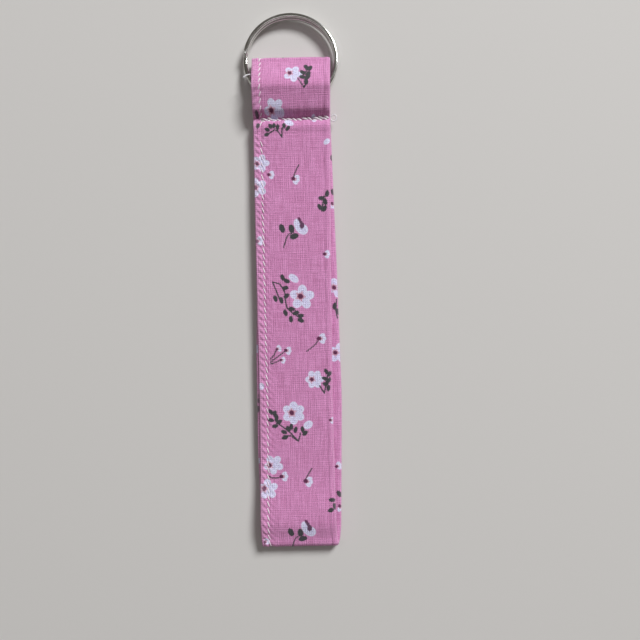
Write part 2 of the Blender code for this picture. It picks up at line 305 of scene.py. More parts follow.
def draw_print():
    flower(0.8, -12.7, 2.9, 5, 10, heart=(-1.0, -0.3))
    leaves((5.0, -15.0, 60), (6.1, -14.6, 120), (3.9, -13.1, 40), (5.6, -12.5, 110), (3.8, -11.4, 20),
           (5.3, -11.3, 140), (4.9, -9.8, 90), size=1.15)
    stroke((2.3, -11.0), (4.2, -8.0), (5.2, -9.8))
    stroke((5.0, -15.0), (4.9, -12.6), (5.0, -10.0))
    flower(-5.2, -2.2, 3.2, 5, 25, heart=(-1.0, 0.3))
    leaves((-10.8, -1.0, 80), (-10.6, 2.5, 100), size=1.0)
    bud(6.2, 0.5, 1.1, -10)
    blob("petal", -0.8, 1.7, 1.6, 0.95, 25)
    leaves((-7.7, 3.8, 20), (-7.9, 5.3, -20), (-6.7, 2.7, 60), (-5.6, 2.6, 100), (-4.4, 3.0, 90),
           (-2.4, 2.6, 80), (-1.2, 3.5, 130), size=0.95)
    stroke((-7.5, 5.1), (-5.3, 3.9), (-4.3, 4.3), (-3.1, 6.2), (-3.0, 3.4))
    blob("petal", 11.0, 7.8, 1.2, 0.8, -40)
    flower(-10.0, 14.2, 2.8, 5, 0, heart=(-1.1, 0.1))
    flower(-11.2, 21.9, 3.1, 5, 36, heart=(-0.5, 0.0))
    bud(-7.5, 17.9, 1.2, 5)
    bud(0.2, 19.3, 1.4, 18)
    stroke((0.3, 19.0), (0.7, 17.6), (2.0, 15.0))
    leaves((10.8, 24.2, 100), (9.0, 25.6, 0), (8.4, 28.4, 60), (9.9, 28.9, 120), (10.2, 26.8, 80), size=1.1)
    stroke((9.9, 24.8), (9.4, 27.0), (9.1, 29.8))
    tulip(2.4, 34.2, 62)
    leaves((-3.6, 34.9, 70), (-0.6, 35.1, 80), (0.2, 37.5, -20), size=1.45, slim=0.62)
    stroke((-0.5, 36.8), (-1.6, 36.8), (-2.1, 37.6), (-3.2, 40.9))
    bud(-11.6, 38.8, 1.3, -5)
    bud(9.6, 43.2, 1.2, 5)
    blob("petal", -0.2, 50.7, 1.8, 1.1, 40)
    flower(2.3, 56.7, 3.9, 5, -15, heart=(-0.5, -0.3))
    leaves((-3.7, 50.4, 70), (-2.4, 51.5, 20), (-2.9, 53.7, -10), (-2.6, 56.2, -40), (-6.1, 57.0, 70),
           (-4.2, 57.6, 80), (-1.0, 60.3, 10), (-3.0, 61.5, 70), (-1.3, 63.5, 90), (0.3, 61.6, -20),
           (1.8, 62.5, -10), (1.8, 64.0, 20), size=1.1)
    stroke((-6.9, 51.7), (-4.6, 52.4), (-3.1, 54.9), (-2.9, 57.9), (-2.5, 60.0), (-0.8, 61.6), (2.0, 63.4))
    stroke((-6.9, 51.7), (-5.6, 55.0), (-4.6, 57.8))
    bud(7.4, 69.8, 1.5, 0)
    stroke((7.0, 70.6), (6.1, 71.8), (3.4, 73.8))
    bud(-5.9, 72.9, 1.0, -20)
    bud(-3.1, 73.3, 1.2, 10)
    bud(-4.7, 76.3, 1.0, 5)
    stroke((-6.1, 73.2), (-6.9, 74.9), (-8.1, 76.0))
    stroke((-3.5, 73.7), (-4.6, 74.5), (-8.0, 76.9))
    stroke((-5.0, 76.4), (-6.0, 76.9), (-7.9, 77.6))
    blob("petal", -11.0, 84.5, 1.1, 0.9, 90)
    flower(5.8, 82.6, 2.9, 6, 0, heart=(-0.9, 0.0))
    leaves((9.5, 80.2, 60), (10.5, 81.0, 120), (9.0, 82.4, 20), (10.3, 83.0, 120), (9.2, 84.1, 10),
           (10.1, 85.4, 100), size=1.0)
    stroke((7.3, 84.6), (8.8, 87.0), (9.8, 81.6))
    flower(-1.0, 93.1, 3.6, 6, 30, heart=(-0.6, -0.1))
    blob("petal", 3.5, 96.9, 1.6, 1.2, -35)
    leaves((-8.2, 92.6, 60), (-6.9, 93.2, 100), (-8.2, 95.2, 10), (-6.4, 94.6, 110), (-5.6, 95.8, 150),
           (-6.9, 97.1, -10), (-4.1, 99.0, 20), (-3.9, 100.8, -10), (-2.8, 98.0, 70), (-1.8, 97.4, 90),
           (-0.5, 98.4, 110), (1.7, 98.3, 80), (2.5, 99.5, 140), size=1.05)
    stroke((-7.6, 92.4), (-6.3, 96.1), (-3.6, 98.0), (-1.9, 99.5), (0.4, 102.0), (1.0, 99.5))
    stroke((-4.2, 100.1), (-1.9, 100.3), (0.4, 102.0))
    bud(10.5, 95.5, 1.0, 10)
    flower(-7.6, 109.2, 3.1, 5, 20, heart=(-1.3, 0.2))
    bud(-5.2, 113.0, 1.4, 0)
    stroke((-5.5, 113.2), (-6.8, 113.5), (-8.2, 113.4), (-9.5, 112.7))
    bud(2.4, 114.6, 1.5, 12)
    stroke((2.3, 114.2), (2.8, 113.2), (4.4, 110.6))
    flower(-9.5, 116.9, 3.2, 5, 50, heart=(-1.2, -0.2))
    leaves((10.6, 120.6, 0), (10.2, 123.7, -20), (11.5, 122.6, 60), size=1.1)
    tulip(3.1, 129.1, 58)
    leaves((-2.5, 130.3, 70), (0.5, 130.5, 85), (1.2, 132.7, -20), size=1.45, slim=0.62)
    stroke((0.0, 131.6), (-0.9, 132.2), (-1.5, 133.3), (-2.4, 135.6))
    bud(-10.8, 133.6, 1.0, -30)


def draw_band():
    """Prints that show on the back layer's inner face, where it stands out to the right."""
    leaves((12.6, 12.5, 80), (12.6, 23.3, 80), size=1.0)
    bud(12.4, 27.0, 1.1, 70)
    flower(13.7, 53.6, 3.2, 5, 20, heart=(-1.2, 0.1))
    leaves((12.6, 59.6, 100), (13.6, 61.4, 60), size=1.2)
    stroke((13.2, 57.4), (12.9, 61.0), (13.4, 63.5))
    flower(13.6, 74.6, 3.2, 5, -10, heart=(-1.1, -0.2))
    bud(12.2, 110.6, 1.2, -20)
    leaves((12.9, 119.3, 60), size=1.2)
    bud(13.0, 123.2, 1.2, 60)


def distance(prims, x, d):
    """Distance to the nearest of the shapes, negative inside, in millimetres."""
    nearest = np.full(x.shape, FAR)
    for prim in prims:
        if prim[0] == "blob":
            _, cx, cd, a, b, turn = prim
            c, s = math.cos(turn), math.sin(turn)
            u = ((x - cx) * c + (d - cd) * s) / a
            v = ((d - cd) * c - (x - cx) * s) / b
            value = (np.hypot(u, v) - 1) * min(a, b)
        else:
            _, x0, d0, x1, d1, r = prim
            ax, ad = x1 - x0, d1 - d0
            t = np.clip(((x - x0) * ax + (d - d0) * ad) / (ax * ax + ad * ad), 0, 1)
            value = np.hypot(x - x0 - ax * t, d - d0 - ad * t) - r
        np.minimum(nearest, value, out=nearest)
    return nearest


def drawn(draw):
    """The shapes that one drawing function makes, by channel."""
    for shapes in motifs.values():
        shapes.clear()
    draw()
    return {name: list(shapes) for name, shapes in motifs.items()}


outer_print = drawn(draw_print)
band_print = drawn(draw_band)
INNER_SHIFT = 1.5
INNER_START = 116
INNER_LIMIT = -9.0
PRINT_FROM = -24
PRINT_TO = 141
FAR = 9.0


def print_values(x, d, inner, height):
    """The four distances of the print at each point: petal, halo, heart and leaf.

    The outer face repeats the print along its run. The inner face has it turned round, with the band's
    own prints added.
    """
    values = []
    for name, prims in outer_print.items():
        value = np.full(x.shape, FAR)
        for k in (-1, 0, 1):
            shown = ~inner & (d + PERIOD * k > PRINT_FROM) & (d + PERIOD * k < PRINT_TO)
            value[shown] = np.minimum(value[shown], distance(prims, x[shown], d[shown] + PERIOD * k))
        turned = [p for p in prims if p[1] > INNER_LIMIT]
        value[inner] = np.minimum(
            distance(turned, -x[inner] - INNER_SHIFT, INNER_START + height[inner]),
            distance(band_print[name], x[inner], -height[inner]),
        )
        values.append(value)
    return values


# ---------------------------------------------------------------- sleeve of cotton

FACE_STEPS = 78
UNDER_STEPS = 56
CAVITY_STEPS = 22
HEM_START = 0.9
THIN_SHARE = 0.62
UNDER_RELIEF = 0.55
UNDER_SHIFT = 0.7

# Relief of the face: heights and reaches of each feature
CROWN = 0.056
GROOVE_DEPTH = 0.25
GROOVE_REACH = 0.36
BAND_START = 0.2
BAND_WIDTH = 2.1
RIDGE_LEVEL = 0.06
RIDGE_HEIGHT = 0.19
PUCKER_PITCH = 2.1
PUCKER_SLANT = 0.42
PUCKER_SWAY = 0.22
PUCKER_START = 0.6
PUCKER_REACH = 1.1
PUCKER_HEIGHT = 0.11
BEAD_INSET = 1.2
BEAD_HEIGHT = 0.12
BEAD_REACH = 0.50
CREASE_INSET = 2.1
CREASE_DEPTH = 0.08
CREASE_REACH = 0.45
UNEVEN_HEIGHT = 0.035

rng = np.random.default_rng(7)
WAVES = [(rng.uniform(0.10, 0.75), rng.uniform(0.05, 0.40), rng.uniform(0, math.tau), rng.uniform(-1, 1))
         for _ in range(14)]


def unevenness(x, run):
    """Slow ups and downs of washed cotton."""
    total = 0.0
    for across, along, phase, sign in WAVES:
        total = total + np.sin(x * across * 2 + sign * run * along * 2 + phase)
    return total / math.sqrt(len(WAVES))


def relief(x, run, left, right, strength):
    """How far the face stands out: sewn groove, puckered band, edge bead, crown and unevenness."""
    e = x - left
    w = right - x
    middle = (left + right) / 2
    half = (right - left) / 2
    crown = CROWN * (1 - ((x - middle) / half) ** 2)
    groove = -GROOVE_DEPTH * np.exp(-((e - STITCH_INSET) / GROOVE_REACH) ** 2)
    sway = PUCKER_SWAY * unevenness(x * 0.0, run * 0.6)
    wave = np.cos(math.tau * (run / PUCKER_PITCH - PUCKER_SLANT * (e - STITCH_INSET)) + sway)
    band = np.sin(np.pi * np.clip((e - BAND_START) / BAND_WIDTH, 0, 1)) ** 0.8
    ridge = band * (RIDGE_LEVEL + RIDGE_HEIGHT * np.sign(wave) * np.abs(wave) ** 0.8)
    past = e - STITCH_INSET
    fading = np.exp(-np.clip(past - PUCKER_START, 0, None) / PUCKER_REACH)
    pucker = np.clip(past / PUCKER_START, 0, 1) * fading * PUCKER_HEIGHT * wave
    bead = BEAD_HEIGHT * np.exp(-((w - BEAD_INSET) / BEAD_REACH) ** 2)
    crease = CREASE_DEPTH * np.exp(-((w - CREASE_INSET) / CREASE_REACH) ** 2)
    sewn = strength * (groove + ridge + pucker)
    return crown + sewn + bead - crease + UNEVEN_HEIGHT * unevenness(x, run)


def sleeve_section(left, right, half, run, spare, strength):
    """One row of the sleeve: x, offset and face (1 outer, -1 inner), as arrays."""
    x, n, face = [], [], []

    def add(xs, ns, side):
        x.extend(xs)
        n.extend(ns)
        face.extend([side] * len(xs))

    r = (half - SLIT / 2) / 2
    under = left - spare
    round_left = np.radians(np.linspace(270, 90, 7))
    add([left + HEM_END, left + HEM_START], [SLIT / 2, SLIT / 2], 1)
    add(left + r + r * np.cos(round_left), SLIT / 2 + r + r * np.sin(round_left), 1)
    face_x = np.linspace(left + r, right - half, FACE_STEPS)[1:-1]
    fade = np.clip((face_x - left - r) / 0.5, 0, 1) * np.clip((right - half - face_x) / 0.4, 0, 1)
    add(face_x, half + fade * relief(face_x, run, left, right, strength), 1)
    round_right = np.radians(np.linspace(90, -90, 11))
    add(right - half + half * np.cos(round_right), half * np.sin(round_right), 1)
    face[-5:] = [-1] * 5
    under_x = np.linspace(right - half, under + r, UNDER_STEPS)[1:-1]
    fade = np.clip((under_x - under - r) / 0.5, 0, 1) * np.clip((right - half - under_x) / 0.4, 0, 1)
    add(under_x, -half - UNDER_RELIEF * fade * relief(under_x, run + UNDER_SHIFT, left, right, strength), -1)
    add(under + r + r * np.cos(round_left[::-1]), -SLIT / 2 - r - r * np.sin(round_left[::-1]), -1)
    add([left + HEM_START, left + HEM_END], [-SLIT / 2, -SLIT / 2], -1)
    inside = half - SKIN if half > 0.5 else half * THIN_SHARE
    across = np.linspace(left + CAVITY_START, right - half, CAVITY_STEPS)
    add(across, np.full(CAVITY_STEPS, -inside), -1)
    arc = np.radians(np.linspace(-90, 90, 7))[1:-1]
    add(right - half + inside * np.cos(arc), inside * np.sin(arc), -1)
    add(across[::-1], np.full(CAVITY_STEPS, inside), 1)
    return np.array(x), np.array(n), np.array(face)


SPARE_WIDTH = 0.75
SPARE_MIDDLE = 85.0
SPARE_REACH = 26.0


def hem_spare(path):
    """How far the lower hem stands out past the upper one at the left, half way down the front."""
    return SPARE_WIDTH * np.exp(-((path.run - SPARE_MIDDLE) / SPARE_REACH) ** 4)


def mesh_object(name, points, faces, material):
    """A smooth mesh object with its faces turned outwards."""
    mesh = bpy.data.meshes.new(name)
    mesh.from_pydata([tuple(p) for p in points], [], faces)
    bm = bmesh.new()
    bm.from_mesh(mesh)
    bmesh.ops.recalc_face_normals(bm, faces=bm.faces)
    bm.to_mesh(mesh)
    bm.free()
    mesh.polygons.foreach_set("use_smooth", [True] * len(mesh.polygons))
    mesh.materials.append(material)
    obj = bpy.data.objects.new(name, mesh)
    bpy.context.scene.collection.objects.link(obj)
    return obj


def grid_faces(rows, columns):
    """Quads of a tube of rows, closed round its columns, with a cap at each end."""
    faces = []
    for i in range(rows - 1):
        for j in range(columns):
            k = (j + 1) % columns
            faces.append((i * columns + j, i * columns + k, (i + 1) * columns + k, (i + 1) * columns + j))
    faces.append(tuple(range(columns)))
    faces.append(tuple((rows - 1) * columns + j for j in range(columns)))
    return faces


def sharpen_caps(mesh, rows, columns):
    """The rims of both end caps are sharp, so that neighbouring lengths shade as one cloth."""
    ends = set(range(columns)) | set(range((rows - 1) * columns, rows * columns))
    sharp = mesh.attributes.new("sharp_edge", "BOOLEAN", "EDGE")
    flags = [edge.vertices[0] in ends and edge.vertices[1] in ends for edge in mesh.edges]
    sharp.data.foreach_set("value", flags)


def put_attribute(mesh, name, kind, values):
    attribute = mesh.attributes.new(name, kind, "POINT")
    key = "vector" if kind == "FLOAT_VECTOR" else "value"
    attribute.data.foreach_set(key, np.asarray(values, np.float32).ravel())


TONGUE_ANGLES = np.radians((88, 72, 54, 36, 18))


def sleeve(name, path, start, end, print_depth, strength=1.0, tongue=False, spare=None):
    """A length of the cotton sleeve from run start to run end."""
    inside = path.run[(path.run > start + 0.05) & (path.run < end - 0.05)]
    runs = np.concatenate([[start], inside, [end]])
    taper = np.ones(len(runs))
    if tongue:
        extra = start - LAYER / 2 * np.sin(TONGUE_ANGLES)
        taper = np.concatenate([np.cos(TONGUE_ANGLES), taper])
        runs = np.concatenate([extra, runs])
    points, u_rows, faces_side, cross = [], [], [], []
    for run, thin in zip(runs, taper):
        left, right = path.at(run, path.left), path.at(run, path.right)
        half = path.at(run, path.half)
        reveal = 0.0 if spare is None else path.at(run, spare)
        x, n, face = sleeve_section(left, right, half, run, reveal, strength)
        place = path.place(run, x, n * thin)
        if run < 0:
            place[:, 1] -= run * MM
        points.append(place)
        around = np.concatenate([[0.0], np.cumsum(np.hypot(np.diff(x), np.diff(n)))])
        u_rows.append(around)
        faces_side.append(face)
        cross.append(x)
    columns = len(points[0])
    rows = len(runs)
    place = np.concatenate(points)
    obj = mesh_object(name, place, grid_faces(rows, columns), cotton)
    mesh = obj.data
    sharpen_caps(mesh, rows, columns)
    x = np.concatenate(cross)
    inner = np.concatenate(faces_side) < 0
    run = np.repeat(runs, columns)
    height = (place[:, 1] - SEAM_Y) / MM
    petal, halo, heart, leaf = print_values(x, print_depth(run, height), inner, height)
    put_attribute(mesh, "bloom", "FLOAT_VECTOR", np.stack([petal, halo, heart], axis=-1))
    put_attribute(mesh, "foliage", "FLOAT", leaf)
    left = np.repeat([path.at(r, path.left) for r in runs], columns)
    right = np.repeat([path.at(r, path.right) for r in runs], columns)
    # wear along the edges together with painted highlight: marks the left hem band and the right fold to be
    # coloured lighter, where light catches them
    edge_wear_and_highlight = np.maximum(0.85 * np.exp(-np.clip(x - left - 0.6, 0, None) / 0.9), np.exp(-(right - x) / 0.35))
    put_attribute(mesh, "edge_wear_and_highlight", "FLOAT", np.clip(edge_wear_and_highlight, 0, 1))
    uv = mesh.uv_layers.new(name="weave")
    corner = np.empty(len(mesh.loops), np.int32)
    mesh.loops.foreach_get("vertex_index", corner)
    flat = np.stack([np.concatenate(u_rows), run], axis=-1)
    uv.data.foreach_set("uv", flat[corner].astype(np.float32).ravel())
    return obj


CORE_ROOM = 0.12
CORE_STEPS = 14


def core(name, path, start, end):
    """The interfacing inside one length of the sleeve."""
    runs = np.concatenate([[start], path.run[(path.run > start + 0.3) & (path.run < end - 0.3)][::3], [end]])
    points = []
    for run in runs:
        left, right = path.at(run, path.left), path.at(run, path.right)
        half = path.at(run, path.half)
        thick = max(min(half - SKIN, half * THIN_SHARE) - CORE_ROOM, CORE_ROOM)
        across = np.linspace(left + CAVITY_START + 0.3, right - half, CORE_STEPS)
        x = np.concatenate([across, [right - half + 0.1], across[::-1]])
        n = np.concatenate([np.full(CORE_STEPS, thick), [0.0], np.full(CORE_STEPS, -thick)])
        points.append(path.place(run, x, n + 0.02 * np.sin(x * 2.1 + run * 1.3)))
    columns = len(points[0])
    return mesh_object(name, np.concatenate(points), grid_faces(len(runs), columns), interfacing)


# ---------------------------------------------------------------- threads

PLY_TWIST = 2.6
PLY_DEPTH = 0.13


def thread_points(centres, radius, sides=8):
    """Rings of points round a line of centres, twisted like two-ply thread. Radius may vary."""
    centres = np.asarray(centres, float)
    radius = np.broadcast_to(radius, len(centres))
    tangent = np.gradient(centres, axis=0)
    tangent /= np.linalg.norm(tangent, axis=1)[:, None]
    up = np.array([0.0, 0.12, 1.0])
    rings = []
    along = 0.0
    for i, (c, t, r) in enumerate(zip(centres, tangent, radius)):
        if i:
            along += float(np.linalg.norm(c - centres[i - 1])) / MM
        side = np.cross(t, up)
        side /= np.linalg.norm(side)
        top = np.cross(side, t)
        for k in range(sides):
            angle = math.tau * k / sides
            ply = 1 + PLY_DEPTH * math.cos(2 * (angle - PLY_TWIST * along))
            rings.append(c + (side * math.cos(angle) + top * math.sin(angle)) * r * ply)
    return rings


def threads(name, lines, material, sides=8):
    """Several threads joined as one piece. Each line is (centres, radius)."""
    points, faces = [], []
    for centres, radius in lines:
        base = len(points)
        points += thread_points(centres, radius, sides)
        faces += [tuple(v + base for v in f) for f in grid_faces(len(centres), sides)]
    return mesh_object(name, points, faces, material)


STITCH_R = 0.19
STITCH_LONG = 2.05
STITCH_SLANT = 0.75
STITCH_SINK = 0.08
STITCH_DIP = 0.30


def topstitch(name, path, start, end, side):
    """The row of stitches down one side of a length: 1 outer, -1 inner."""
    lines = []
    first = math.ceil((start - 0.02) / PUCKER_PITCH - 0.5)
    for i in range(first, 200):
        centre = (i + 0.5) * PUCKER_PITCH
        if centre >= end:
            break
        if centre < start:
            continue
        t = np.linspace(-1, 1, 9)
        jitter = 0.05 * math.sin(i * 2.4)
        runs = np.clip(centre + t * STITCH_LONG / 2, 0, path.run[-1])
        left = np.array([path.at(r, path.left) for r in runs])
        half = np.array([path.at(r, path.half) for r in runs])
        x = left + STITCH_INSET + t * STITCH_SLANT / 2 + jitter
        height = half - STITCH_SINK - STITCH_DIP * np.abs(t) ** 3
        centres = [path.place(r, xx, side * h) for r, xx, h in zip(runs, x, height)]
        lines.append((centres, STITCH_R * MM * (1 - 0.35 * np.abs(t) ** 2)))
    return threads(name, lines, thread)


SEAM_FROM = -8.8
SEAM_TO = 11.3
SEAM_PITCH = 1.62
SEAM_DOUBLED = (-5.6, 6.8)
SEAM_ROW = (-0.50,)
SEAM_ROWS_DOUBLED = (-0.85, -0.15)
SEAM_STITCH_R = 0.31
SEAM_SHIFT = 0.35


def seam_stitches(name, top, slant):
    """The uneven short stitches that close the tab, doubled at both ends."""
    lines = []
    x = SEAM_FROM
    i = 0
    sign = 1 if slant < 0 else -1
    t = np.linspace(-1, 1, 8)
    while x < SEAM_TO:
        doubled = x > SEAM_DOUBLED[1] or x < SEAM_DOUBLED[0]
        for row in SEAM_ROWS_DOUBLED if doubled else SEAM_ROW:
            rise = slant * t * (0.34 + 0.16 * math.sin(i * 2.3))
            y = row + rise + 0.15 * math.sin(i * 1.7) + 0.02 * x
            z = top + sign * (0.10 - 0.26 * np.abs(t) ** 3)
            shift = SEAM_SHIFT if row == SEAM_ROWS_DOUBLED[1] else 0.0
            xs = x + shift + t * (0.80 + 0.12 * math.sin(i * 4.1))
            centres = np.stack([xs * MM, SEAM_Y + y * MM, z * MM], axis=-1)
            lines.append((centres, SEAM_STITCH_R * MM * (1 - 0.3 * np.abs(t) ** 2)))
        x += SEAM_PITCH + 0.16 * math.sin(i * 2.9)
        i += 1
    return threads(name, lines, thread)


def thread_loop():
    """The little loop of thread that stands out at the right end of the seam."""
    low, high = (Vector(c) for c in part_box("seam_thread_loop"))
    middle = (low + high) / 2
    size = (high - low) / 2
    centres = []
    for a in np.radians(np.linspace(200, 520, 30)):
        pull = 1 + 0.06 * math.sin(2 * a)
        centres.append((middle.x + (size.x - 0.00012) * pull * math.cos(a),
                        middle.y + (size.y - 0.00012) * math.sin(a), middle.z + 0.0001 * math.sin(a)))
    return threads("seam_thread_loop_visual", [(centres, 0.00017)], clear)


def thread_tail():
    """The loose end that comes out of the tab at the left and lies over the ring."""
    low, high = (Vector(c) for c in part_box("loose_thread_tail"))
    t = np.linspace(0, 1, 16)
    start = np.array((high.x, high.y - 0.0002, high.z + 0.0002))
    end = np.array((low.x + 0.0001, low.y - 0.0002, high.z + 0.0001))
    centres = start + (end - start) * t[:, None]
    centres[:, 2] += 0.0003 * np.sin(np.pi * t)
    centres[:, 1] += 0.00025 * np.sin(np.pi * t)
    radius = np.interp(t, (0, 0.7, 0.85, 0.95, 1), (0.00014, 0.00030, 0.00042, 0.00036, 0.00012))
    return threads("loose_thread_tail_visual", [(centres, radius)], clear)


# ---------------------------------------------------------------- split ring

RING_OUTER_R = 15.0
WIRE_RADIAL = 1.3
WIRE_AXIAL = 1.4
TURN_GAP = 0.1
RING_TILT = math.radians(3.3)
RING_ABOVE_SEAM = 18.3
CROSSOVER = math.radians(192)
CROSSOVER_SPAN = math.radians(30)
END_MARGIN = math.radians(4)
WIRE_CORNER = 0.38


def wire_outline():
    """Rounded rectangle of the wire, slightly domed, as (radial, axial) offsets."""
    a, b = WIRE_RADIAL / 2, WIRE_AXIAL / 2
    points = []
    for sx, sy, first in ((1, 1, 0), (-1, 1, 90), (-1, -1, 180), (1, -1, 270)):
        for k in range(6):
            angle = math.radians(first + 18 * k)
            points.append((sx * (a - WIRE_CORNER) + WIRE_CORNER * math.cos(angle),
                           sy * (b - WIRE_CORNER) + WIRE_CORNER * math.sin(angle)))
    return points


def split_ring():
    """Two turns of wire that step past each other at the crossover, with blunt ends."""
    start = CROSSOVER_SPAN / 2 + END_MARGIN
    end = 2 * math.tau - start
    level = (WIRE_AXIAL + TURN_GAP) / 2
    middle_r = RING_OUTER_R - WIRE_RADIAL / 2
    low, high = (Vector(c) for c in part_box("split_ring"))
    centre = Vector((0.0, SEAM_Y + RING_ABOVE_SEAM * MM, (low.z + high.z) / 2))
    turn = Euler((-RING_TILT, 0.0, 0.0)).to_matrix()
    outline = wire_outline()
    steps = 400
    points = []
    for i in range(steps + 1):
        along = start + (end - start) * i / steps
        t = min(max((along - math.tau) / CROSSOVER_SPAN + 0.5, 0.0), 1.0)
        z = level * (2 * t * t * (3 - 2 * t) - 1)
        angle = along + CROSSOVER
        ends = min(i, steps - i)
        shrink = (0.72, 0.88, 0.97)[ends] if ends < 3 else 1.0
        for radial, axial in outline:
            r = middle_r + radial * shrink
            local = Vector((r * math.cos(angle), r * math.sin(angle), z + axial * shrink)) * MM
            points.append(centre + turn @ local)
    return mesh_object("split_ring_visual", points, grid_faces(steps + 1, len(outline)), steel)


# ---------------------------------------------------------------- materials

class Nodes:
    """A new material's nodes, with short ways to add and link them."""

    def __init__(self, name):
        self.material = bpy.data.materials.new(name)
        self.material.use_nodes = True
        self.tree = self.material.node_tree
        self.shader = self.tree.nodes["Principled BSDF"]

    def add(self, kind, **settings):
        node = self.tree.nodes.new(kind)
        for key, value in settings.items():
            setattr(node, key, value)
        return node

    def link(self, source, target):
        self.tree.links.new(source, target)

    def math(self, operation, a, b=None, c=None):
        node = self.add("ShaderNodeMath", operation=operation)
        for socket, value in zip(node.inputs, (a, b, c)):
            if value is None:
                continue
            if isinstance(value, (int, float)):
                socket.default_value = value
            else:
                self.link(value, socket)
        return node.outputs[0]

    def ramp(self, value, low, high, to_low=0.0, to_high=1.0, smooth=True):
        node = self.add("ShaderNodeMapRange", interpolation_type="SMOOTHSTEP" if smooth else "LINEAR")
        self.link(value, node.inputs["Value"])
        node.inputs["From Min"].default_value = low
        node.inputs["From Max"].default_value = high
        node.inputs["To Min"].default_value = to_low
        node.inputs["To Max"].default_value = to_high
        return node.outputs["Result"]

    def mix(self, factor, a, b, blend="MIX"):
        node = self.add("ShaderNodeMix", data_type="RGBA", blend_type=blend)
        sockets = {s.identifier: s for s in node.inputs}
        for key, value in (("Factor_Float", factor), ("A_Color", a), ("B_Color", b)):
            if isinstance(value, float):
                sockets[key].default_value = value
            elif isinstance(value, tuple):
                sockets[key].default_value = (*value, 1.0)
            else:
                self.link(value, sockets[key])
        return {s.identifier: s for s in node.outputs}["Result_Color"]

    def noise(self, vector, scale, detail=3.0, stretch=None):
        if stretch is not None:
            mapping = self.add("ShaderNodeMapping")
            self.link(vector, mapping.inputs["Vector"])
            mapping.inputs["Scale"].default_value = stretch
            vector = mapping.outputs["Vector"]
        node = self.add("ShaderNodeTexNoise")
        self.link(vector, node.inputs["Vector"])
        node.inputs["Scale"].default_value = scale
        node.inputs["Detail"].default_value = detail
        return node.outputs["Fac"]

    def bump(self, height, strength, distance, normal=None):
        node = self.add("ShaderNodeBump")
        self.link(height, node.inputs["Height"])
        node.inputs["Strength"].default_value = strength
        node.inputs["Distance"].default_value = distance
        if normal is not None:
            self.link(normal, node.inputs["Normal"])
        return node.outputs["Normal"]

    def set(self, **values):
        for key, value in values.items():
            self.shader.inputs[key.replace("_", " ")].default_value = value


PINK = (0.670, 0.266, 0.520)
PINK_DARK = (0.430, 0.145, 0.300)
PINK_LIGHT = (0.820, 0.385, 0.690)
PETAL = (0.760, 0.790, 1.000)
PETAL_SHADE = (0.600, 0.600, 0.880)
HALO = (0.620, 0.180, 0.250)
HEART = (0.085, 0.010, 0.058)
LEAF = (0.022, 0.046, 0.038)
THREAD_PITCH = 0.64


